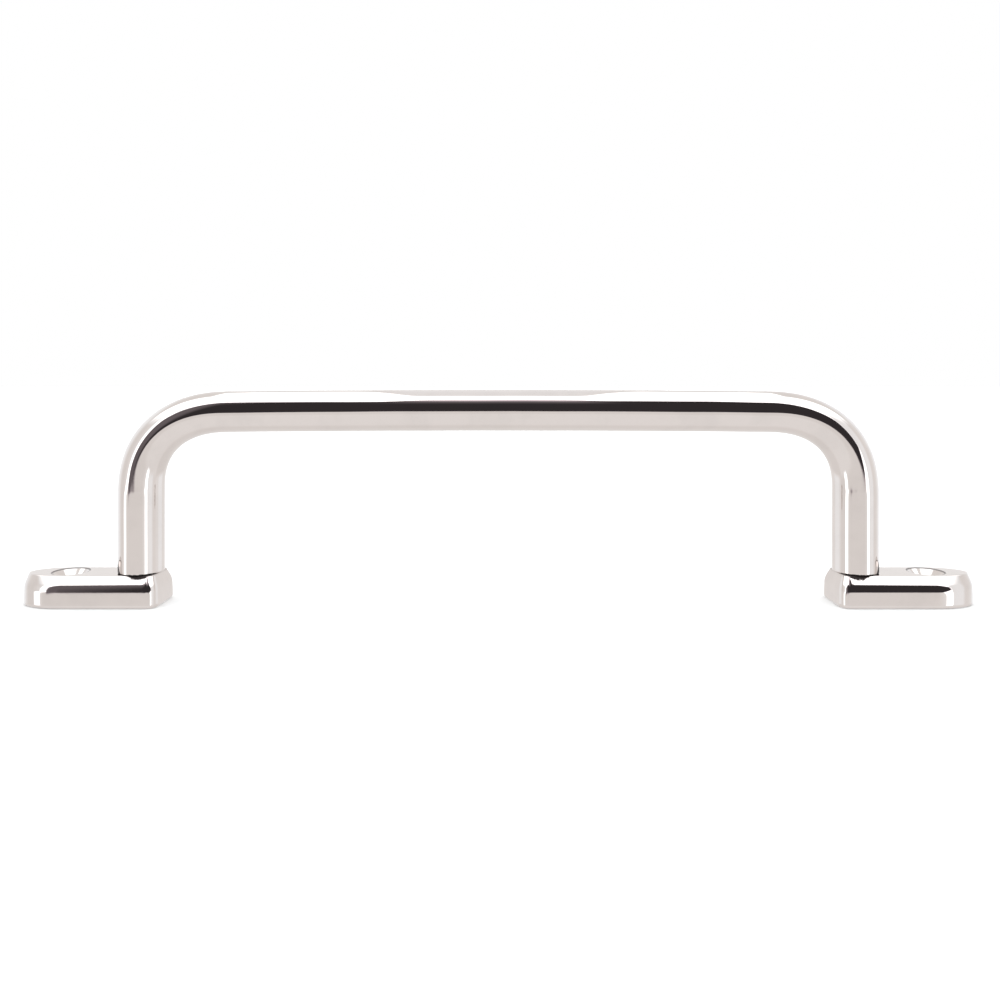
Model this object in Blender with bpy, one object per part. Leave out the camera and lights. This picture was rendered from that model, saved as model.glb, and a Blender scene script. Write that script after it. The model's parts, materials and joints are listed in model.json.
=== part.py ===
"""Grab rail: one bent round bar on two feet, each foot clamped to its leg by a screw from beneath.

Frame: X runs along the rail, Y across it, Z up from the face that the feet rest on, and the
origin lies on that face, midway between the feet. Lengths are in metres.
"""

import math

import bmesh
import bpy
import numpy as np

# The bar's centre line
BAR_RADIUS = 0.0060           # along the span
LEG_RADIUS = 0.0064           # the bar is a little heavier below its bends
LEG_REACH = 0.1044            # from the middle of the rail to a leg's axis
BAR_HEIGHT = 0.0561           # the bar's axis above the mounting face, at mid span
BAR_CROWN = 0.0007            # how much lower the bar would lie over the legs
BEND_LENGTH = 0.0263          # along the bar
BEND_DEPTH = 0.0236           # down the leg
BEND_FULLNESS = 2.38          # 2 is an ellipse, and more is squarer
BAR_SIDES = 28
BEND_STEPS = 18
SPAN_STEPS = 12

# The feet
FOOT_WIDTH = 0.0160
FOOT_HEIGHT = 0.0090
FOOT_INNER_END = 0.0974       # from the middle of the rail to a foot's square end
FOOT_OUTER_END = 0.1382       # and to its round end
ROUND_END_LENGTH = 0.0132
SQUARE_END_RADIUS = 0.0028
BOTTOM_EDGE_RADIUS = 0.0010
END_SHARE = 0.6               # a foot's edges reach in this much less from its ends than from its sides
END_STEPS = 20
CORNER_STEPS = 5
# A foot's side, from its flat top down, in arcs that run into one another. Each has a radius, the
# angle in degrees that the face tilts up by where it starts and where it ends, and its steps
EDGE_ARCS = [(0.0006, 90, 36, 2), (0.0345, 36, 32, 1), (0.0046, 32, 4, 3), (0.0500, 4, 0, 1)]

# The holes for fastening the rail down
MOUNT_REACH = 0.1250
MOUNT_HOLE_RADIUS = 0.0030
MOUNT_SINK_RADIUS = 0.0052

# The joint between a leg and its foot
CLEARANCE = 0.0003
SPIGOT_RADIUS = 0.0045
SPIGOT_FLAT = 0.0035          # from the leg's axis to the flat that stops the foot turning
SPIGOT_LENGTH = 0.0040
SHOULDER_CHAMFER = 0.0003
SCREW_RADIUS = 0.0025
SCREW_LENGTH = 0.0160
SCREW_HEAD_RADIUS = 0.0047
SCREW_HEAD_LAND = 0.0003
SCREW_POINT_CHAMFER = 0.0004
DRIVE_RADIUS = 0.00173        # corner radius of a 3 mm hexagon
DRIVE_DEPTH = 0.0019
THREAD_RUNOUT = 0.0025        # bore left beyond the screw's point
ROUND_SIDES = 32
CUT_MARGIN = 0.0020           # how far a cutter stands out of the face that it cuts

SIDES = {"left": -1.0, "right": 1.0}
SMOOTH_ANGLE = math.radians(30)


def clear_scene():
    for thing in list(bpy.data.objects):
        bpy.data.objects.remove(thing, do_unlink=True)


def metal(name, colour, roughness):
    """A bare polished metal."""
    material = bpy.data.materials.new(name)
    material.use_nodes = True
    shader = material.node_tree.nodes["Principled BSDF"]
    shader.inputs["Base Color"].default_value = (*colour, 1.0)
    shader.inputs["Metallic"].default_value = 1.0
    shader.inputs["Roughness"].default_value = roughness
    return material


def skin(name, rings, material):
    """One closed solid through a stack of rings, (ring, point, xyz), with a flat cap at each end."""
    ring_count, side_count = rings.shape[:2]
    index = np.arange(ring_count * side_count).reshape(ring_count, side_count)
    after = np.roll(index, -1, axis=1)
    quads = np.stack([index[:-1], after[:-1], after[1:], index[1:]], axis=-1).reshape(-1, 4)
    faces = quads.tolist() + [index[0].tolist(), index[-1].tolist()]
    mesh = bpy.data.meshes.new(name)
    mesh.from_pydata(rings.reshape(-1, 3).tolist(), [], faces)
    edit = bmesh.new()
    edit.from_mesh(mesh)
    bmesh.ops.recalc_face_normals(edit, faces=edit.faces)
    edit.to_mesh(mesh)
    edit.free()
    mesh.shade_smooth()
    mesh.set_sharp_from_angle(angle=SMOOTH_ANGLE)
    thing = bpy.data.objects.new(name, mesh)
    bpy.context.scene.collection.objects.link(thing)
    if material:
        mesh.materials.append(material)
    return thing


def turned(name, profile, reach, material=None, sides=ROUND_SIDES):
    """A round solid on an upright axis at X = reach, from (radius, height) pairs."""
    angle = np.arange(sides) * (2 * math.pi / sides)
    radius, height = np.array(profile).T
    rings = np.empty((len(profile), sides, 3))
    rings[..., 0] = reach + radius[:, None] * np.cos(angle)
    rings[..., 1] = radius[:, None] * np.sin(angle)
    rings[..., 2] = height[:, None]
    return skin(name, rings, material)


def d_section(radius, flat, sides):
    """A circle whose points beyond the flat are drawn back onto it."""
    angle = np.arange(sides) * (2 * math.pi / sides)
    return np.minimum(radius * np.cos(angle), flat), radius * np.sin(angle)


def cut(thing, cutter):
    """Subtract a cutter, which stays in the file as a wire guide."""
    cutter.hide_render = True
    cutter.display_type = "WIRE"
    modifier = thing.modifiers.new(cutter.name, "BOOLEAN")
    modifier.operation = "DIFFERENCE"
    modifier.solver = "EXACT"
    modifier.object = cutter


def shoulder_height():
    return FOOT_HEIGHT + CLEARANCE


def screw_head_height():
    """A 45 degree head runs in from the land until it meets the shank."""
    return CLEARANCE + SCREW_HEAD_LAND + SCREW_HEAD_RADIUS - SCREW_RADIUS


def centre_line():
    """The right half of the bar's axis, (x, z), from the shoulder up, round the bend to mid span."""
    foot_of_bend = BAR_HEIGHT - BEND_DEPTH
    start_of_bend = LEG_REACH - BEND_LENGTH
    turn = np.linspace(0, math.pi / 2, BEND_STEPS + 1)
    power = 2 / BEND_FULLNESS
    bend_x = start_of_bend + BEND_LENGTH * np.maximum(np.cos(turn), 0) ** power
    bend_z = foot_of_bend + BEND_DEPTH * np.sin(turn) ** power
    leg_z = np.array([shoulder_height() + SHOULDER_CHAMFER, 0.5 * (shoulder_height() + foot_of_bend)])
    span_x = np.linspace(start_of_bend, 0, SPAN_STEPS // 2 + 1)[1:]
    x = np.concatenate([np.full(2, LEG_REACH), bend_x, span_x])
    z = np.concatenate([leg_z, bend_z, np.full(len(span_x), BAR_HEIGHT)])
    rise = (z - shoulder_height()) / (BAR_HEIGHT - shoulder_height())
    return np.stack([x, z - BAR_CROWN * (x / LEG_REACH) ** 2 * rise], axis=1)


def leg_end_rings(side):
    """Rings up a leg's end: the D-shaped spigot, then the shoulder and its small chamfer."""
    top = shoulder_height()
    spigot_x, spigot_y = d_section(SPIGOT_RADIUS, SPIGOT_FLAT, BAR_SIDES)
    full_x, full_y = d_section(1.0, 1.0, BAR_SIDES)
    chamfered = LEG_RADIUS - SHOULDER_CHAMFER
    rings = []
    for x, y, z in ((spigot_x, spigot_y, top - SPIGOT_LENGTH),
                    (spigot_x, spigot_y, top),
                    (full_x * chamfered, full_y * chamfered, top)):
        rings.append(np.stack([side * (LEG_REACH + x), y, np.full(BAR_SIDES, z)], axis=1))
    return np.array(rings)


def bar_rings():
    """Round rings square to the centre line, between the two leg ends, thinning as they rise through a bend."""
    half = centre_line()
    line = np.concatenate([half, half[-2::-1] * (-1, 1)])
    along = np.gradient(line, axis=0)
    along /= np.linalg.norm(along, axis=1)[:, None]
    rise = np.clip((line[:, 1:] - BAR_HEIGHT + BEND_DEPTH) / BEND_DEPTH, 0, 1)
    radius = LEG_RADIUS + (BAR_RADIUS - LEG_RADIUS) * rise
    angle = np.arange(BAR_SIDES) * (2 * math.pi / BAR_SIDES)
    outward = radius * np.cos(angle)
    rings = np.empty((len(line), BAR_SIDES, 3))
    rings[..., 0] = line[:, :1] + along[:, 1:] * outward
    rings[..., 1] = radius * np.sin(angle)
    rings[..., 2] = line[:, 1:] - along[:, :1] * outward
    return rings


def rail_bar(material):
    rings = np.concatenate([leg_end_rings(1.0), bar_rings(), leg_end_rings(-1.0)[::-1]])
    bar = skin("rail_bar", rings, material)
    bore = SCREW_RADIUS + CLEARANCE
    bottom = shoulder_height() - SPIGOT_LENGTH - CUT_MARGIN
    top = CLEARANCE + SCREW_LENGTH + THREAD_RUNOUT
    for side_name, side in SIDES.items():
        profile = [(bore, bottom), (bore, top - bore), (0.2 * bore, top)]
        cut(bar, turned("screw_bore_" + side_name, profile, side * LEG_REACH))
    return bar


def foot_outline(along, across):
    """The right-hand foot seen from above, drawn in by a length along the rail and one across it.

    Its outer end is half an ellipse, and its inner end is square with small round corners.
    """
    half_width = FOOT_WIDTH / 2 - across
    end = np.linspace(-math.pi / 2, math.pi / 2, END_STEPS + 1)
    end_x = FOOT_OUTER_END - ROUND_END_LENGTH + (ROUND_END_LENGTH - along) * np.cos(end)
    points = [np.stack([end_x, half_width * np.sin(end)], axis=1)]
    corner_along = SQUARE_END_RADIUS - along / 2
    corner_across = SQUARE_END_RADIUS - across / 2
    x = FOOT_INNER_END + along + corner_along
    y = half_width - corner_across
    for corner_y, start in ((y, math.pi / 2), (-y, math.pi)):
        turn = start + np.linspace(0, math.pi / 2, CORNER_STEPS + 1)
        corner = [x + corner_along * np.cos(turn), corner_y + corner_across * np.sin(turn)]
        points.append(np.stack(corner, axis=1))
    return np.concatenate(points)


def side_levels():
    """How far in from the outline a foot's side stands, at each height from the bottom to the top."""
    outward, height = 0.0, FOOT_HEIGHT
    levels = [(outward, height)]
    for radius, start, stop, steps in EDGE_ARCS:
        tilts = np.radians(np.linspace(start, stop, steps + 1))
        for before, after in zip(tilts[:-1], tilts[1:]):
            outward += radius * (math.cos(after) - math.cos(before))
            height -= radius * (math.sin(before) - math.sin(after))
            levels.append((outward, height))
    levels = [(outward - reach, height) for reach, height in levels]
    for tilt in np.linspace(0, math.pi / 2, 3):
        levels.append((BOTTOM_EDGE_RADIUS * (1 - math.cos(tilt)), BOTTOM_EDGE_RADIUS * (1 - math.sin(tilt))))
    return levels[::-1]


def foot(side_name, side, material):
    """The pad, its edges rounded, with a mounting hole, a spigot socket and a screw hole."""
    rings = []
    for inset, height in side_levels():
        outline = foot_outline(END_SHARE * inset, inset)
        rings.append(np.column_stack([side * outline[:, 0], outline[:, 1], np.full(len(outline), height)]))
    pad = skin("foot_" + side_name, np.array(rings), material)
    cut(pad, mount_hole_cutter(side_name, side))
    cut(pad, socket_cutter(side_name, side))
    cut(pad, screw_hole_cutter(side_name, side))
    return pad


def mount_hole_cutter(side_name, side):
    """A through hole with a 90 degree countersink at the top."""
    above = MOUNT_SINK_RADIUS + CUT_MARGIN
    throat = FOOT_HEIGHT - (MOUNT_SINK_RADIUS - MOUNT_HOLE_RADIUS)
    profile = [(MOUNT_HOLE_RADIUS, -CUT_MARGIN), (MOUNT_HOLE_RADIUS, throat), (above, FOOT_HEIGHT + CUT_MARGIN)]
    return turned("mount_hole_" + side_name, profile, side * MOUNT_REACH)


def socket_cutter(side_name, side):
    """The D-shaped socket that takes the leg's spigot."""
    x, y = d_section(SPIGOT_RADIUS + CLEARANCE, SPIGOT_FLAT + CLEARANCE, ROUND_SIDES)
    floor = shoulder_height() - SPIGOT_LENGTH - CLEARANCE
    rings = []
    for height in (floor, FOOT_HEIGHT + CUT_MARGIN):
        rings.append(np.stack([side * (LEG_REACH + x), y, np.full(ROUND_SIDES, height)], axis=1))
    return skin("spigot_socket_" + side_name, np.array(rings), None)


def screw_hole_cutter(side_name, side):
    """A clearance hole, countersunk from beneath, one clearance away from the screw all round."""
    hole = SCREW_RADIUS + CLEARANCE
    sink = SCREW_HEAD_RADIUS + SCREW_HEAD_LAND + CLEARANCE * (1 + math.sqrt(2))
    socket_floor = shoulder_height() - SPIGOT_LENGTH
    profile = [(sink + CUT_MARGIN, -CUT_MARGIN), (hole, sink - hole), (hole, socket_floor + CUT_MARGIN)]
    return turned("screw_hole_" + side_name, profile, side * LEG_REACH)


def foot_screw(side_name, side, material):
    """A countersunk screw with a hexagon drive, head down and flush with the foot's underside."""
    head = CLEARANCE + SCREW_HEAD_LAND
    tip = CLEARANCE + SCREW_LENGTH
    profile = [(SCREW_HEAD_RADIUS, CLEARANCE), (SCREW_HEAD_RADIUS, head), (SCREW_RADIUS, screw_head_height()),
               (SCREW_RADIUS, tip - SCREW_POINT_CHAMFER), (SCREW_RADIUS - SCREW_POINT_CHAMFER, tip)]
    screw = turned("foot_screw_" + side_name, profile, side * LEG_REACH, material)
    drive = [(DRIVE_RADIUS, CLEARANCE - CUT_MARGIN), (DRIVE_RADIUS, CLEARANCE + DRIVE_DEPTH)]
    cut(screw, turned("hex_drive_" + side_name, drive, side * LEG_REACH, sides=6))
    return screw


def main():
    clear_scene()
    polished = metal("polished_stainless", (0.66, 0.62, 0.60), 0.08)
    cast = metal("polished_casting", (0.63, 0.59, 0.57), 0.11)
    plain = metal("plain_stainless", (0.50, 0.49, 0.48), 0.28)
    rail_bar(polished)
    for side_name, side in SIDES.items():
        foot(side_name, side, cast)
        foot_screw(side_name, side, plain)


main()
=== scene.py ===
import json
import bmesh
import bpy
import numpy as np
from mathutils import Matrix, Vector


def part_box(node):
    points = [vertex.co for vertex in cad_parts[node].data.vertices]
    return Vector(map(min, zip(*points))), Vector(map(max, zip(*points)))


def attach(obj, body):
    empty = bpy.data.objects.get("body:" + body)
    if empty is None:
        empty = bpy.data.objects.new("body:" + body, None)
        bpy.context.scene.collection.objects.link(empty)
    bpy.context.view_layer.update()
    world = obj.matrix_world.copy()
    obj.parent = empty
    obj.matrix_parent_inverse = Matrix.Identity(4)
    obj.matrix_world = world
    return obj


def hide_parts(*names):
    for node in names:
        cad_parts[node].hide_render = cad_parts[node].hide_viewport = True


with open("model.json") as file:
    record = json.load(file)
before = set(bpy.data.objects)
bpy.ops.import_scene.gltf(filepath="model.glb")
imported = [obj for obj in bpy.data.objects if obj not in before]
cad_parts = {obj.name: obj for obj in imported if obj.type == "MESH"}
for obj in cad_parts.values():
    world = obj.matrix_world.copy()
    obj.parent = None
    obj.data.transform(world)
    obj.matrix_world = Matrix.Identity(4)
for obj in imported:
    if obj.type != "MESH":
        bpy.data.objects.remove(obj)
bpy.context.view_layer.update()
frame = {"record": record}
print("frame: packed model loaded")

tau = 2 * np.pi
sideSigns = {"left": -1.0, "right": 1.0}
weldDistance = 2e-7        # metres; points this close are one point
seatGap = 0.0001           # what is left between a leg and its foot once the screw is tight


# ---- numpy surfaces to meshes ----

def arcLengths(grid, axis):
    # mean running length of the grid's lines along one axis, starting at 0
    steps = np.linalg.norm(np.diff(grid, axis=axis), axis=-1).mean(axis=1 - axis)
    return np.concatenate([[0.0], np.cumsum(steps)])


def pieceFromGrids(name, grids, material):
    # a grid is rows x columns x 3: neighbours make quads, and a wrapped one closes on its first column.
    # U runs down the rows and V across the columns, both in metres along the surface
    points, quads, uvs, start = [], [], [], 0
    for grid, wrapped in grids:
        rows, columns = grid.shape[:2]
        index = start + np.arange(rows * columns).reshape(rows, columns)
        start += rows * columns
        points.append(grid.reshape(-1, 3))
        if wrapped:
            grid = np.concatenate([grid, grid[:, :1]], axis=1)
            index = np.concatenate([index, index[:, :1]], axis=1)
        uv = np.stack(np.meshgrid(arcLengths(grid, 0), arcLengths(grid, 1), indexing="ij"), axis=-1)
        for table, store in ((index, quads), (uv, uvs)):
            corners = [table[:-1, :-1], table[:-1, 1:], table[1:, 1:], table[1:, :-1]]
            store.append(np.stack(corners, axis=2).reshape((-1, 4) + table.shape[2:]))
    mesh = bpy.data.meshes.new(name)
    mesh.from_pydata(np.concatenate(points), [], np.concatenate(quads))
    layer = mesh.uv_layers.new(name="surface")
    layer.data.foreach_set("uv", np.concatenate(uvs).astype(np.float32).ravel())
    edit = bmesh.new()
    edit.from_mesh(mesh)
    bmesh.ops.remove_doubles(edit, verts=edit.verts, dist=weldDistance)
    bmesh.ops.recalc_face_normals(edit, faces=edit.faces)
    edit.to_mesh(mesh)
    edit.free()
    mesh.shade_smooth()
    mesh.materials.append(material)
    piece = bpy.data.objects.new(name, mesh)
    bpy.context.scene.collection.objects.link(piece)
    return piece


def handOver(piece, node):
    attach(piece, "root")
    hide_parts(node)


def roundedProfile(corners, steps=6, support=0.00004):
    # a polyline of (radius, height, rounding): each corner is an arc of its own rounding, tangent to both
    # legs, with a support point just outside each arc so that the flats stay flat under smooth shading
    points = np.array([corner[:2] for corner in corners], float)
    path = [points[:1]]
    for here, before, after, corner in zip(points[1:-1], points[:-2], points[2:], corners[1:-1]):
        back = (before - here) / np.linalg.norm(before - here)
        ahead = (after - here) / np.linalg.norm(after - here)
        half = 0.5 * np.arccos(np.clip(back @ ahead, -1, 1))
        reach = corner[2] / np.tan(half)
        centre = here + (back + ahead) / np.linalg.norm(back + ahead) * corner[2] / np.sin(half)
        first, last = here + back * reach - centre, here + ahead * reach - centre
        share = np.linspace(0, 1, steps + 1)[:, None]
        span = np.pi - 2 * half
        arc = centre + (np.sin((1 - share) * span) * first + np.sin(share * span) * last) / np.sin(span)
        path += [here + back * (reach + support), arc, here + ahead * (reach + support)]
    path.append(points[-1:])
    return np.concatenate([np.atleast_2d(part) for part in path])


def dRadius(angle, radius, flat):
    # a circle cut off by a flat on its +X side, as a radius for every angle
    toFlat = np.where(np.cos(angle) > 1e-3, flat / np.maximum(np.cos(angle), 1e-3), np.inf)
    return np.minimum(radius, toFlat)


def uprightRows(reach, radius, height, angle):
    # rings on an upright axis at X = reach: radius is rows x angles, height one value for each row
    radius = np.broadcast_to(radius, (len(height), len(angle)))
    heights = np.broadcast_to(np.asarray(height)[:, None], radius.shape)
    return np.stack([reach + radius * np.cos(angle), radius * np.sin(angle), heights], axis=-1)


def mirrored(grids, sign):
    return [(grid * (sign, 1, 1), wrapped) for grid, wrapped in grids]


# ---- node helpers ----

def addNode(tree, kind, values=None, **settings):
    node = tree.nodes.new(kind)
    for key, value in settings.items():
        setattr(node, key, value)
    for key, value in (values or {}).items():
        if isinstance(value, bpy.types.NodeSocket):
            tree.links.new(value, node.inputs[key])
        else:
            node.inputs[key].default_value = value
    return node


def calc(tree, operation, first, second=0.0, third=0.0):
    return addNode(tree, "ShaderNodeMath", {0: first, 1: second, 2: third}, operation=operation).outputs[0]


def softStep(tree, value, low, high):
    node = addNode(tree, "ShaderNodeMapRange", {"Value": value, "From Min": low, "From Max": high},
                   interpolation_type="SMOOTHSTEP")
    return node.outputs["Result"]


def inside(tree, value, low, high, soft):
    # 1 between low and high and 0 beyond them, with a smooth change from "soft" before to "soft" after each
    rising = softStep(tree, value, calc(tree, "SUBTRACT", low, soft), calc(tree, "ADD", low, soft))
    falling = softStep(tree, value, calc(tree, "ADD", high, soft), calc(tree, "SUBTRACT", high, soft))
    return calc(tree, "MULTIPLY", rising, falling)


def blendNumber(tree, share, first, second):
    return addNode(tree, "ShaderNodeMix", {"Factor": share, "A": first, "B": second}).outputs["Result"]


def blendColour(tree, share, first, second):
    node = addNode(tree, "ShaderNodeMix", {"Factor": share, 6: first, 7: second}, data_type="RGBA")
    return node.outputs[2]


def levelCurve(tree, value, stops):
    # straight lines through stops of (value, level). A ramp's own levels stop at 1, so they are scaled down
    # in it and up again behind it
    low, high = stops[0][0], stops[-1][0]
    highest = max(level for place, level in stops)
    share = addNode(tree, "ShaderNodeMapRange", {"Value": value, "From Min": low, "From Max": high})
    ramp = addNode(tree, "ShaderNodeValToRGB", {"Fac": share.outputs["Result"]})
    elements = ramp.color_ramp.elements
    while len(elements) < len(stops):
        elements.new(0.5)
    for element, stop in zip(elements, stops):
        element.position = (stop[0] - low) / (high - low)
    for element, stop in zip(elements, stops):
        element.color = (stop[1] / highest,) * 3 + (1,)
    return calc(tree, "MULTIPLY", ramp.outputs["Color"], highest)


# ---- metals ----

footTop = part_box("foot_right")[1].z
legCentre = 0.5 * (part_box("foot_screw_right")[0].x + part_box("foot_screw_right")[1].x)
openings = {opening["name"]: opening["box_m"] for opening in frame["record"]["physics"]["openings"]}
holeCentre = float(np.mean([corner[0] for corner in openings["right_mount_hole"]]))

# painted shade round each leg: its middle lies a set shift in from a leg's axis, and it reaches a set
# distance out from there
steelSettings = {
    "bar": {"colour": (0.675, 0.615, 0.585), "roughness": 0.035, "scratch": 0.05, "peel": 1.2e-6,
            "paintedShadeReach": 0.0067, "paintedShadeShift": 0.0},
    "foot": {"colour": (0.670, 0.610, 0.580), "roughness": 0.050, "scratch": 0.06, "peel": 2.2e-6,
             "paintedShadeReach": 0.0066, "paintedShadeShift": 0.0013},
    "fastener": {"colour": (0.52, 0.50, 0.49), "roughness": 0.22, "scratch": 0.12, "peel": 1.5e-6,
                 "paintedShadeReach": 0.0, "paintedShadeShift": 0.0},
}
finishSettings = {
    "hairStretch": (60, 26000, 1), "hairFrom": 0.60, "hairTo": 0.74, "hairDepth": 0.25,
    "hazeScale": 90.0, "hazeFrom": 0.42, "hazeTo": 0.70, "hazeShare": 0.5, "hazeColour": 0.96,
    "peelScale": 1100.0, "specular": 0.15,
}
# painted shade: a near-black, dull patch in the crevice under each leg, up the leg's outer side and round
# each countersink's mouth
paintedShadeSettings = {
    "colour": (0.030, 0.022, 0.021), "roughness": 0.6, "edge": 0.0003, "uneven": 0.0003,
    "lowest": (0.0074, 0.0078), "above": 0.00025, "topEdge": 0.0002, "innerEnd": (-0.0060, -0.0044),
    "paintedShadeRise": (0.0038, 0.0060), "paintedShadeRiseHeight": 0.0036,
    "ring": (0.00492, 0.00528), "ringEdge": 0.0001, "ringLowest": (0.0082, 0.0086), "ringStrength": 0.7,
}


def distanceFrom(tree, x, y):
    offset = addNode(tree, "ShaderNodeCombineXYZ", {0: x, 1: y})
    return addNode(tree, "ShaderNodeVectorMath", {0: offset.outputs[0]}, operation="LENGTH").outputs["Value"]


def paintedShadeMask(tree, place, speckle, steel, settings):
    # painted shade, near black and dull, in the crevice under each leg, drawn up the leg's outer side, and a
    # little of it round the mouth of each countersink
    x, y, z = addNode(tree, "ShaderNodeSeparateXYZ", {0: place}).outputs
    outward = calc(tree, "SUBTRACT", calc(tree, "ABSOLUTE", x), legCentre)
    uneven = calc(tree, "MULTIPLY_ADD", speckle, 2 * settings["uneven"], -settings["uneven"])
    fromMiddle = distanceFrom(tree, calc(tree, "ADD", outward, steel["paintedShadeShift"]), y)
    crevice = softStep(tree, calc(tree, "ADD", fromMiddle, uneven),
                       steel["paintedShadeReach"], steel["paintedShadeReach"] - settings["edge"])
    # painted shade reaching up the leg's outer side
    paintedShadeRise = softStep(tree, outward, *settings["paintedShadeRise"])
    top = calc(tree, "MULTIPLY_ADD", paintedShadeRise, settings["paintedShadeRiseHeight"], footTop + settings["above"])
    overTop = calc(tree, "SUBTRACT", z, calc(tree, "ADD", top, uneven))
    for share in (softStep(tree, z, *settings["lowest"]), softStep(tree, overTop, settings["topEdge"], 0.0),
                  softStep(tree, outward, *settings["innerEnd"])):
        crevice = calc(tree, "MULTIPLY", crevice, share)
    # painted shade in a ring round the mouth of each countersink
    fromHole = distanceFrom(tree, calc(tree, "SUBTRACT", calc(tree, "ABSOLUTE", x), holeCentre), y)
    ring = inside(tree, fromHole, *settings["ring"], settings["ringEdge"])
    ring = calc(tree, "MULTIPLY", ring, softStep(tree, z, *settings["ringLowest"]))
    return calc(tree, "MAXIMUM", crevice, calc(tree, "MULTIPLY", ring, settings["ringStrength"]))


def polishedSteel(slot):
    # bare metal: hair-fine polishing lines along the piece, faint haze, a slight orange peel, and painted
    # shade
    steel, finish = steelSettings[slot], finishSettings
    material = bpy.data.materials.new("polished steel, " + slot)
    material.use_nodes = True
    tree = material.node_tree
    shader = tree.nodes["Principled BSDF"]
    coords = tree.nodes.new("ShaderNodeTexCoord")
    place = coords.outputs["Object"]
    lines = addNode(tree, "ShaderNodeMapping",
                    {"Vector": coords.outputs["UV"], "Scale": finish["hairStretch"]})
    hairs = addNode(tree, "ShaderNodeTexNoise", {"Vector": lines.outputs[0], "Scale": 1.0, "Detail": 2.0})
    haze = addNode(tree, "ShaderNodeTexNoise",
                   {"Vector": place, "Scale": finish["hazeScale"], "Detail": 3.0, "Roughness": 0.6})
    peel = addNode(tree, "ShaderNodeTexNoise",
                   {"Vector": place, "Scale": finish["peelScale"], "Detail": 1.0})
    hairMask = softStep(tree, hairs.outputs["Fac"], finish["hairFrom"], finish["hairTo"])
    hazeMask = softStep(tree, haze.outputs["Fac"], finish["hazeFrom"], finish["hazeTo"])
    # painted shade: a dark, dull, non-metal patch under the legs and round the countersinks
    paintedShade = paintedShadeMask(tree, place, peel.outputs["Fac"], steel, paintedShadeSettings)
    rough = calc(tree, "MULTIPLY_ADD", hairMask, steel["scratch"], steel["roughness"])
    rough = calc(tree, "MULTIPLY_ADD", hazeMask, finish["hazeShare"] * steel["roughness"], rough)
    rough = blendNumber(tree, paintedShade, rough, paintedShadeSettings["roughness"])
    clean = (*steel["colour"], 1)
    hazy = (*(finish["hazeColour"] * value for value in steel["colour"]), 1)
    colour = blendColour(tree, hazeMask, clean, hazy)
    # the colour goes near black where the painted shade lies
    colour = blendColour(tree, paintedShade, colour, (*paintedShadeSettings["colour"], 1))
    height = calc(tree, "MULTIPLY_ADD", hairMask, -finish["hairDepth"], peel.outputs["Fac"])
    bump = addNode(tree, "ShaderNodeBump", {"Height": height, "Distance": steel["peel"], "Strength": 1.0})
    tree.links.new(colour, shader.inputs["Base Color"])
    tree.links.new(rough, shader.inputs["Roughness"])
    tree.links.new(calc(tree, "SUBTRACT", 1.0, paintedShade), shader.inputs["Metallic"])
    tree.links.new(bump.outputs[0], shader.inputs["Normal"])
    shader.inputs["Specular IOR Level"].default_value = finish["specular"]
    return material


steel = {slot: polishedSteel(slot) for slot in steelSettings}
print("metals: made")


# ---- the bar ----

barSettings = {
    "sides": 128, "legSteps": 28, "bendSteps": 120, "spanSteps": 170,
    "spanRadius": 0.0060, "bendLength": 0.0263, "bendDepth": 0.0236, "fullness": 2.38, "crown": 0.0007,
    "shoulderRound": 0.0003, "boreTop": 0.0188, "boreRadius": 0.0028,
    "boreCone": 0.0016, "boreMouth": 0.0003, "spigotRadius": 0.0045, "spigotFlat": 0.0035,
    "spigotEnd": 0.0053, "spigotBevel": 0.0002,
    "ripple": 0.000008, "rippleFade": 0.01, "rippleLengths": (0.031, 0.019),
}


def barCentreLine(settings, legReach, barHeight, shoulder):
    # the right half from the shoulder to mid span: an upright leg, a superellipse quarter and a straight
    # span, all let down by a parabola that is zero at mid span and at the shoulder
    footOfBend = barHeight - settings["bendDepth"]
    turn = np.linspace(0, np.pi / 2, settings["bendSteps"] + 1)
    power = 2 / settings["fullness"]
    bendX = legReach - settings["bendLength"] * (1 - np.maximum(np.cos(turn), 0) ** power)
    bendZ = footOfBend + settings["bendDepth"] * np.sin(turn) ** power
    legZ = np.linspace(shoulder, footOfBend, settings["legSteps"] + 1)[:-1]
    spanX = np.linspace(bendX[-1], 0, settings["spanSteps"] // 2 + 1)[1:]
    x = np.concatenate([np.full(len(legZ), legReach), bendX, spanX])
    z = np.concatenate([legZ, bendZ, np.full(len(spanX), barHeight)])
    rise = (z - shoulder) / (barHeight - shoulder)
    return np.stack([x, z - settings["crown"] * (x / legReach) ** 2 * rise], axis=1)


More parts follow.
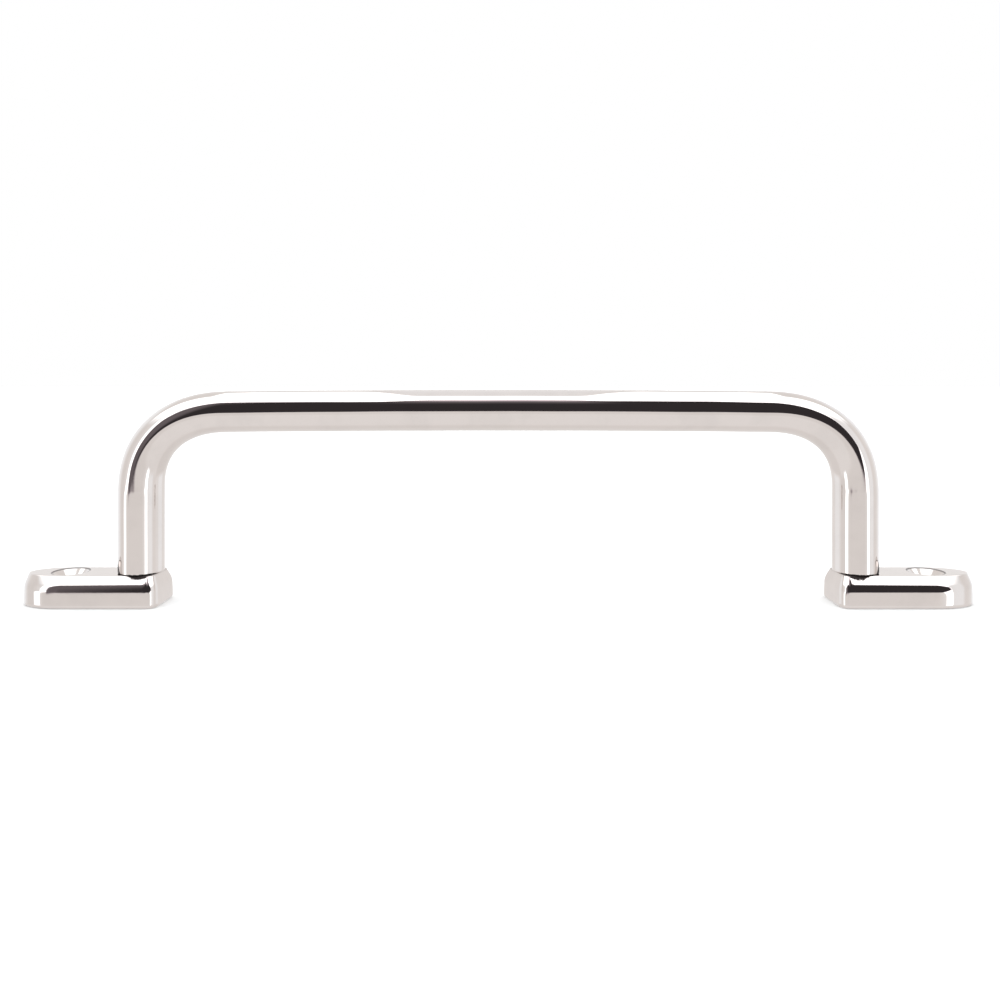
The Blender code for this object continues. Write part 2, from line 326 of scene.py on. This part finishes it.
def makeBar(settings):
    low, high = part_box("rail_bar")
    legRadius = 0.5 * (high.y - low.y)
    legReach = high.x - legRadius
    shoulder = footTop + seatGap
    spanRadius = settings["spanRadius"]
    barHeight = high.z - spanRadius
    angle = np.arange(settings["sides"]) * (tau / settings["sides"])
    half = barCentreLine(settings, legReach, barHeight, shoulder + settings["shoulderRound"])
    line = np.concatenate([half, half[-2::-1] * (-1, 1)])
    along = np.gradient(line, axis=0)
    along /= np.linalg.norm(along, axis=1)[:, None]
    rise = np.clip((line[:, 1:] - barHeight + settings["bendDepth"]) / settings["bendDepth"], 0, 1)
    radius = legRadius + (spanRadius - legRadius) * rise
    # hand polishing leaves the surface a few thousandths of a millimetre out of round
    distance = np.concatenate([[0], np.cumsum(np.linalg.norm(np.diff(line, axis=0), axis=1))])[:, None]
    fromEnd = np.minimum(distance, distance[-1] - distance)
    fade = np.clip(fromEnd / settings["rippleFade"], 0, 1)
    long, short = settings["rippleLengths"]
    ripple = np.sin(tau * distance / long + 2 * angle) + 0.7 * np.sin(tau * distance / short - angle + 1)
    radius = radius + settings["ripple"] * fade * ripple
    tube = np.empty((len(line), len(angle), 3))
    tube[..., 0] = line[:, :1] + along[:, 1:] * radius * np.cos(angle)
    tube[..., 1] = radius * np.sin(angle)
    tube[..., 2] = line[:, 1:] - along[:, :1] * radius * np.cos(angle)
    # the leg's end: blind bore, D-shaped spigot, shoulder
    boreRadius, boreTop, spigotEnd = settings["boreRadius"], settings["boreTop"], settings["spigotEnd"]
    mouth, bevel = settings["boreMouth"], settings["spigotBevel"]
    bore = roundedProfile([(0, boreTop, 0), (boreRadius, boreTop - settings["boreCone"], 0.0002),
                           (boreRadius, spigotEnd + mouth, 0.0001), (boreRadius + mouth, spigotEnd, 0)])
    boreRows = uprightRows(legReach, bore[:, :1], bore[:, 1], angle)
    spigot = dRadius(angle, settings["spigotRadius"], settings["spigotFlat"])
    spigotRadii = np.stack([spigot - bevel, spigot, spigot])
    spigotRows = uprightRows(legReach, spigotRadii, [spigotEnd, spigotEnd + bevel, shoulder], angle)
    rounding = np.linspace(0, np.pi / 2, 7)[:-1]
    edge = settings["shoulderRound"]
    edgeRadii = legRadius - edge + edge * np.sin(rounding)
    edgeRows = uprightRows(legReach, edgeRadii[:, None], shoulder + edge * (1 - np.cos(rounding)), angle)
    end = np.concatenate([boreRows, spigotRows, edgeRows])
    rows = np.concatenate([end, tube, end[::-1] * (-1, 1, 1)])
    piece = pieceFromGrids("railBar", [(rows, True)], steel["bar"])
    handOver(piece, "rail_bar")


makeBar(barSettings)
print("bar: swept")


# ---- the feet ----

footSettings = {
    "endLength": 0.0132, "cornerRadius": 0.0028, "divide": 0.1148, "endShare": 0.6,
    "edgeArcs": [(0.0006, 90, 36, 12), (0.0345, 36, 32, 6), (0.0046, 32, 4, 16), (0.0500, 4, 0, 8)],
    "bottomRound": 0.0010,
    "sinkRadius": 0.0052, "holeRadius": 0.0030, "rimRound": 0.00015, "throatRound": 0.0004,
    "socketRadius": 0.0048, "socketFlat": 0.0038, "socketFloor": 0.0050, "socketBevel": 0.0002,
    "screwHole": 0.0028, "screwSink": 0.00572, "screwEdge": 0.0001,
    "straightSteps": 18, "endSteps": 56, "cornerSteps": 14, "faceSteps": 14, "dividerSteps": 18,
}


def footEdge(settings, height):
    # arcs of a tilt that falls from 90 degrees on the flat top to 0 on the side: each adds its radius times
    # the change of the tilt's cosine to how far out the side stands, and of its sine to how far down it is
    outward, level = [np.zeros(1)], [np.full(1, height)]
    for radius, start, stop, steps in settings["edgeArcs"]:
        tilt = np.radians(np.linspace(start, stop, steps + 1))
        outward.append(outward[-1][-1] + radius * (np.cos(tilt[1:]) - np.cos(tilt[0])))
        level.append(level[-1][-1] - radius * (np.sin(tilt[0]) - np.sin(tilt[1:])))
    tilt = np.linspace(0, np.pi / 2, 9)
    outward.append(outward[-1][-1] - settings["bottomRound"] * (1 - np.cos(tilt)))
    level.append(settings["bottomRound"] * (1 - np.sin(tilt)))
    outward = np.concatenate(outward)
    return outward.max() - outward, np.concatenate(level)


def footStrips(settings, size, along, across):
    # the foot's outline at every level, cut in two at the divider: one strip round the outer end and one
    # round the inner end, each running anticlockwise from the divider back to it
    half = 0.5 * size["width"] - across[:, None]
    along, across = along[:, None], across[:, None]
    flat = np.ones_like(half)
    divide, tangent = settings["divide"], size["outer"] - settings["endLength"]
    straight = np.linspace(0, 1, settings["straightSteps"] + 1)[:-1]
    turn = np.linspace(-np.pi / 2, np.pi / 2, settings["endSteps"] + 1)
    outerX = [flat * (divide + (tangent - divide) * straight),
              tangent + (settings["endLength"] - along) * np.cos(turn),
              flat * (tangent + (divide - tangent) * (straight + straight[1]))]
    outerY = [-half * np.ones_like(straight), half * np.sin(turn), half * np.ones_like(straight)]
    cornerAlong = settings["cornerRadius"] - along / 2
    cornerAcross = settings["cornerRadius"] - across / 2
    cornerX = size["inner"] + along + cornerAlong
    cornerY = half - cornerAcross
    quarter = np.linspace(0, np.pi / 2, settings["cornerSteps"] + 1)
    face = np.linspace(1, -1, settings["faceSteps"] + 1)[1:-1]
    innerX = [divide + (cornerX - divide) * straight, cornerX - cornerAlong * np.sin(quarter),
              (cornerX - cornerAlong) * np.ones_like(face), cornerX - cornerAlong * np.cos(quarter),
              cornerX + (divide - cornerX) * (straight + straight[1])]
    innerY = [half * np.ones_like(straight), cornerY + cornerAcross * np.cos(quarter), cornerY * face,
              -cornerY - cornerAcross * np.sin(quarter), -half * np.ones_like(straight)]
    strips = []
    for partsX, partsY in ((outerX, outerY), (innerX, innerY)):
        strips.append(np.stack([np.concatenate(partsX, axis=1), np.concatenate(partsY, axis=1)], axis=-1))
    return strips


def footCell(strip, level, centre, profileRows, settings, dividerSign):
    # one half of the foot: its wall, and a ring surface from the top edge in to the hole's mouth, through
    # the hole and out to the bottom edge. Its lines run from the hole's axis to every point of the outline
    wall = np.concatenate([strip, np.broadcast_to(level[:, None, None], strip.shape[:2] + (1,))], axis=-1)
    across = np.linspace(1, -1, settings["dividerSteps"] + 1)[1:-1] * dividerSign
    rings = []
    for edge, height in ((strip[0], level[0]), (strip[-1], level[-1])):
        divider = np.stack([np.full(len(across), settings["divide"]), across * abs(edge[0, 1])], axis=-1)
        rings.append(np.concatenate([edge, divider]))
    angle = np.arctan2(rings[0][:, 1], rings[0][:, 0] - centre)
    radius, height = profileRows(angle)
    hole = uprightRows(centre, radius, height, angle)
    share = np.linspace(0, 1, 13)[:, None, None]
    top = np.concatenate([rings[0], np.full((len(angle), 1), level[0])], axis=-1)
    bottom = np.concatenate([rings[1], np.full((len(angle), 1), level[-1])], axis=-1)
    topFace = top + (hole[0] - top) * share
    bottomFace = hole[-1] + (bottom - hole[-1]) * share
    return [(wall, False), (np.concatenate([topFace[:-1], hole, bottomFace[1:]]), True)]


def mountHole(settings, height):
    # a round hole under a 90 degree countersink, both mouths broken
    sink, hole, rim = settings["sinkRadius"], settings["holeRadius"], settings["rimRound"]
    profile = roundedProfile([(sink + 0.4 * rim + 0.00006, height, 0), (sink, height, rim),
                              (hole, height - (sink - hole), settings["throatRound"]),
                              (hole, 0.0003, 0.0002),
                              (hole + 0.0004, 0.0, 0)])
    return lambda angle: (profile[:, :1] * np.ones_like(angle), profile[:, 1])


def screwHole(settings, height):
    # a D-shaped socket from above, a clearance hole, and a countersink from beneath
    floor, hole, sink = settings["socketFloor"], settings["screwHole"], settings["screwSink"]
    bevel, edge = settings["socketBevel"], settings["screwEdge"]

    def rows(angle):
        socket = dRadius(angle, settings["socketRadius"], settings["socketFlat"])
        rounds = roundedProfile([(hole + 6 * edge, floor, 0), (hole, floor, edge), (hole, sink - hole, edge),
                                 (sink - 2 * edge, 2 * edge, edge), (sink, 0.0, 0)])
        radius = np.concatenate([[socket + bevel, socket, socket], rounds[:, :1] * np.ones_like(angle)])
        return radius, np.concatenate([[height, height - bevel, floor], rounds[:, 1]])
    return rows


def makeFoot(sideName, settings):
    low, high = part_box("foot_right")
    size = {"inner": low.x, "outer": high.x, "width": high.y - low.y}
    inset, level = footEdge(settings, high.z)
    outer, inner = footStrips(settings, size, settings["endShare"] * inset, inset)
    grids = footCell(outer, level, holeCentre, mountHole(settings, high.z), settings, 1)
    grids += footCell(inner, level, legCentre, screwHole(settings, high.z), settings, -1)
    grids = mirrored(grids, sideSigns[sideName])
    piece = pieceFromGrids("foot" + sideName.capitalize(), grids, steel["foot"])
    handOver(piece, "foot_" + sideName)


for sideName in sideSigns:
    makeFoot(sideName, footSettings)
print("feet: made")


# ---- the clamp screws ----

screwSettings = {
    "sides": 72, "headLand": 0.0003, "headCone": 0.0022, "headRound": 0.00012,
    "driveRadius": 0.0015, "driveDepth": 0.0019, "drivePoint": 0.0006, "driveBevel": 0.0001,
    "neck": 0.0012, "neckRound": 0.0003, "pitch": 0.0008, "threadDepth": 0.00045, "crestWidth": 0.7,
    "rowsPerTurn": 14, "tip": 0.0005, "tipBevel": 0.0006,
}


def makeScrew(sideName, settings):
    # a countersunk screw, head down: hexagon socket, 90 degree head, plain neck, and a rolled thread, whose
    # radius is a rounded wave of the height in pitches less the angle in turns
    low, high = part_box("foot_screw_right")
    reach, head, bottom, tip = 0.5 * (low.x + high.x), 0.5 * (high.x - low.x), low.z, high.z
    shank = head - settings["headCone"]
    angle = np.arange(settings["sides"]) * (tau / settings["sides"])
    hexagon = settings["driveRadius"] / np.cos((angle + np.pi / 6) % (np.pi / 3) - np.pi / 6)
    floor = bottom + settings["driveDepth"]
    point, bevel = settings["drivePoint"], settings["driveBevel"]
    driveRadii = np.stack([0 * hexagon, 0.6 * hexagon, hexagon, hexagon, hexagon + bevel])
    driveHeights = [floor + point, floor + point / 3, floor, bottom + bevel, bottom]
    driveRows = uprightRows(reach, driveRadii, driveHeights, angle)
    land = bottom + settings["headLand"]
    shankStart = land + head - shank
    threadStart = shankStart + settings["neck"]
    body = roundedProfile([(0.6 * head, bottom, 0), (head, bottom, settings["headRound"]),
                           (head, land, settings["headRound"]), (shank, shankStart, settings["neckRound"]),
                           (shank, threadStart, 0)])
    bodyRows = uprightRows(reach, body[:, :1], body[:, 1], angle)
    rowCount = int((tip - threadStart) / settings["pitch"] * settings["rowsPerTurn"])
    height = np.linspace(threadStart, tip, rowCount + 1)[1:]
    wave = 0.5 + 0.5 * np.cos(tau * height[:, None] / settings["pitch"] - angle)
    fade = np.clip((height - threadStart) / settings["pitch"], 0, 1)[:, None]
    taper = np.clip((height - tip + settings["tip"]) / settings["tip"], 0, 1)[:, None]
    thread = shank - settings["threadDepth"] * fade * (1 - wave ** settings["crestWidth"])
    thread = np.minimum(thread, shank - settings["tipBevel"] * taper)
    threadRows = uprightRows(reach, thread, height, angle)
    tipRows = uprightRows(reach, np.stack([0.5 * thread[-1], 0 * angle]), [tip, tip], angle)
    rows = np.concatenate([driveRows, bodyRows, threadRows, tipRows])
    grids = mirrored([(rows, True)], sideSigns[sideName])
    piece = pieceFromGrids("footScrew" + sideName.capitalize(), grids, steel["fastener"])
    handOver(piece, "foot_screw_" + sideName)


for sideName in sideSigns:
    makeScrew(sideName, screwSettings)
print("screws: made")


# ---- floor, light and camera ----

floorSettings = {"reach": 6.0, "gap": 0.00005, "colour": (0.96, 0.945, 0.925), "roughness": 0.9}


def makeFloor(settings):
    reach = settings["reach"]
    mesh = bpy.data.meshes.new("floor")
    mesh.from_pydata([(-reach, -reach, 0), (reach, -reach, 0), (reach, reach, 0), (-reach, reach, 0)], [],
                     [(0, 1, 2, 3)])
    material = bpy.data.materials.new("pale floor")
    material.use_nodes = True
    shader = material.node_tree.nodes["Principled BSDF"]
    shader.inputs["Base Color"].default_value = (*settings["colour"], 1)
    shader.inputs["Roughness"].default_value = settings["roughness"]
    mesh.materials.append(material)
    floor = bpy.data.objects.new("floor", mesh)
    floor.location.z = -settings["gap"]
    floor.visible_glossy = False       # the metal mirrors the tent round it, not the sheet under it
    bpy.context.scene.collection.objects.link(floor)


# brightness of the light tent by direction, in degrees: "around" is 0 towards the front and 90 to the
# right, "up" is 90 overhead, and "over" runs from 0 at the front over the top to 180 at the back. Values
# named "aside" are the sideways part of a direction, from 0 to 1
tentSettings = {
    "walls": [(-180, 1.04), (-148, 1.04), (-132, 1.20), (-112, 1.20), (-100, 1.08), (-92, 0.99),
              (-76, 0.99), (-58, 1.12), (-50, 0.98), (25, 0.98), (34, 1.08), (58, 1.20), (72, 1.20),
              (80, 1.03), (90, 1.03), (99, 1.08), (108, 1.08), (116, 1.20), (134, 1.20), (150, 1.04),
              (180, 1.04)],
    "floorNear": 1.06, "floorFar": 0.97, "floorFrom": -22.0, "floorTo": -14.0, "floorTurn": (80.0, 100.0),
    "panel": 2.4, "panelBack": 133.0, "panelSoft": 4.0, "panelFrom": 28.0, "panelTo": 42.0,
    "beyondPanel": 1.02, "inNotch": 1.13, "notchCut": 45.0, "notchAside": (0.17, 0.09),
    "cornerCut": 33.0, "cornerAside": (0.28, 0.40),
    "seam": (75.0, 79.5), "seamSoft": 1.2, "seamAside": (0.20, 0.32),
    "strip": 2.4, "leftStrip": ((-71, -58), (-57, -42)), "rightStrip": ((38.5, 50), (28, 48)),
    "stripRise": (-8.0, -1.0), "stripSoft": 1.5, "stripLow": -20.0, "stripHigh": 45.0, "stripEndSoft": 3.0,
    "cardShades": [(34, 0.040), (38, 0.050), (43.5, 0.10), (50, 0.20), (57, 0.66), (61, 1.6), (64, 2.4)],
    "cardDeep": 0.040, "cardPale": 0.17, "paleTurn": (-20.0, -30.0), "cardSoft": 1.2,
    "cardLeft": -45.0, "cardRight": 47.0, "cutAbove": 25.0, "leftCut": 0.65, "rightCut": 0.75,
    "rightLean": 1.2, "rightStart": 37.0,
    "leftTop": 51.0, "rightTop": 55.0, "topTurn": (-5.0, 5.0), "middleTop": 63.0, "middleTurn": (14.0, 7.0),
    "cardLow": -3.8, "leftLow": -5.2, "leftTurn": (-6.0, -18.0), "leftSlant": 0.14, "slantZero": -33.0,
    "slantReach": (-46.0, -31.0), "rightLow": -4.0, "rightDip": (13.0, 27.0), "dipSoft": 6.0,
    "brightFrom": (1.0, 1.2), "brightTint": (0.985, 1.03, 1.065), "cardTint": (1.04, 0.94, 1.03),
    "seen": 1.0,
}


def panelLight(tree, over, aside, settings):
    # the panel overhead, with a notch in its middle, its back corners cut away and a seam on each side
    notch = softStep(tree, aside, *settings["notchAside"])
    notchCut = calc(tree, "MULTIPLY", notch, settings["notchCut"])
    corner = softStep(tree, aside, *settings["cornerAside"])
    cornerCut = calc(tree, "MULTIPLY", corner, settings["cornerCut"])
    back = calc(tree, "SUBTRACT", settings["panelBack"], calc(tree, "ADD", notchCut, cornerCut))
    soft = settings["panelSoft"]
    panel = softStep(tree, over, calc(tree, "ADD", back, soft), calc(tree, "SUBTRACT", back, soft))
    seam = inside(tree, over, *settings["seam"], settings["seamSoft"])
    seam = calc(tree, "MULTIPLY", seam, softStep(tree, aside, *settings["seamAside"]))
    panel = calc(tree, "MULTIPLY", panel, calc(tree, "SUBTRACT", 1.0, seam))
    beyond = blendNumber(tree, notch, settings["beyondPanel"], settings["inNotch"])
    return blendNumber(tree, panel, beyond, settings["panel"])


def cardMask(tree, around, up, middle, settings):
    # the dark card in front: its upper corners and its lower right one are cut away, its bottom edge slants
    # on the left, and its top edge is higher in the middle
    high = calc(tree, "MAXIMUM", calc(tree, "SUBTRACT", up, settings["cutAbove"]), 0.0)
    left = calc(tree, "MULTIPLY_ADD", high, settings["leftCut"], settings["cardLeft"])
    right = calc(tree, "MULTIPLY_ADD", up, settings["rightLean"], settings["rightStart"])
    right = calc(tree, "MINIMUM", right, settings["cardRight"])
    right = calc(tree, "MULTIPLY_ADD", high, -settings["rightCut"], right)
    slantStart, slantEnd = settings["slantReach"]
    slant = calc(tree, "MINIMUM", calc(tree, "MAXIMUM", around, slantStart), slantEnd)
    slant = calc(tree, "MULTIPLY_ADD", calc(tree, "SUBTRACT", slant, settings["slantZero"]),
                 settings["leftSlant"], settings["leftLow"])
    bottom = blendNumber(tree, softStep(tree, around, *settings["leftTurn"]), settings["cardLow"], slant)
    dip = inside(tree, around, *settings["rightDip"], settings["dipSoft"])
    bottom = blendNumber(tree, dip, bottom, settings["rightLow"])
    top = blendNumber(tree, softStep(tree, around, *settings["topTurn"]),
                      settings["leftTop"], settings["rightTop"])
    top = blendNumber(tree, middle, top, settings["middleTop"])
    return calc(tree, "MULTIPLY", inside(tree, around, left, right, settings["cardSoft"]),
                inside(tree, up, bottom, top, settings["cardSoft"]))


def makeTent(settings):
    world = bpy.data.worlds.new("light tent")
    bpy.context.scene.world = world
    world.use_nodes = True
    tree = world.node_tree
    coords = tree.nodes.new("ShaderNodeTexCoord")
    x, y, z = addNode(tree, "ShaderNodeSeparateXYZ", {0: coords.outputs["Generated"]}).outputs
    front = calc(tree, "MULTIPLY", y, -1.0)
    degree = 180 / np.pi
    around = calc(tree, "MULTIPLY", calc(tree, "ARCTAN2", x, front), degree)
    over = calc(tree, "MULTIPLY", calc(tree, "ARCTAN2", z, front), degree)
    up = calc(tree, "MULTIPLY", calc(tree, "ARCSINE", z), degree)
    light = levelCurve(tree, around, settings["walls"])
    panel = panelLight(tree, over, calc(tree, "ABSOLUTE", x), settings)
    light = blendNumber(tree, softStep(tree, up, settings["panelFrom"], settings["panelTo"]), light, panel)
    away = softStep(tree, calc(tree, "ABSOLUTE", over), *settings["floorTurn"])
    floor = blendNumber(tree, away, settings["floorNear"], settings["floorFar"])
    light = blendNumber(tree, softStep(tree, up, settings["floorTo"], settings["floorFrom"]), light, floor)
    # a light strip on each side, that moves in towards the card higher up
    rise = softStep(tree, up, *settings["stripRise"])
    tall = inside(tree, up, settings["stripLow"], settings["stripHigh"], settings["stripEndSoft"])
    for low, high in (settings["leftStrip"], settings["rightStrip"]):
        edges = [blendNumber(tree, rise, float(low[end]), float(high[end])) for end in (0, 1)]
        strip = calc(tree, "MULTIPLY", inside(tree, around, *edges, settings["stripSoft"]), tall)
        light = blendNumber(tree, strip, light, settings["strip"])
    # the card fades out upwards in its middle and is paler on its left
    middle = softStep(tree, calc(tree, "ABSOLUTE", around), *settings["middleTurn"])
    card = cardMask(tree, around, up, middle, settings)
    dark = blendNumber(tree, middle, settings["cardDeep"], levelCurve(tree, up, settings["cardShades"]))
    pale = calc(tree, "MULTIPLY", softStep(tree, around, *settings["paleTurn"]), settings["cardPale"])
    light = blendNumber(tree, card, light, calc(tree, "MAXIMUM", dark, pale))
    # brighter parts are a little cooler, and the card is a little purple
    bright = softStep(tree, light, *settings["brightFrom"])
    tint = blendColour(tree, bright, (1.0,) * 4, (*settings["brightTint"], 1.0))
    tint = blendColour(tree, card, tint, (*settings["cardTint"], 1.0))
    lit = addNode(tree, "ShaderNodeVectorMath", {0: tint, "Scale": light}, operation="SCALE").outputs[0]
    path = tree.nodes.new("ShaderNodeLightPath")
    view = blendColour(tree, path.outputs["Is Camera Ray"], lit, (settings["seen"],) * 3 + (1.0,))
    tree.links.new(view, tree.nodes["Background"].inputs["Color"])


cameraSettings = {"distance": 0.2487, "height": 0.06524, "lens": 30.6, "shiftX": 0.0016, "shiftY": -0.121}


def makeCamera(settings):
    data = bpy.data.cameras.new("camera")
    data.sensor_width = 36.0
    data.lens = settings["lens"]
    data.shift_x, data.shift_y = settings["shiftX"], settings["shiftY"]
    data.clip_start = 0.005
    camera = bpy.data.objects.new("camera", data)
    camera.location = (0, -settings["distance"], settings["height"])
    camera.rotation_euler = (np.pi / 2, 0, 0)
    bpy.context.scene.collection.objects.link(camera)
    bpy.context.scene.camera = camera


makeFloor(floorSettings)
makeTent(tentSettings)
makeCamera(cameraSettings)
bpy.context.scene.view_settings.view_transform = "Standard"
print("floor, light and camera: set")
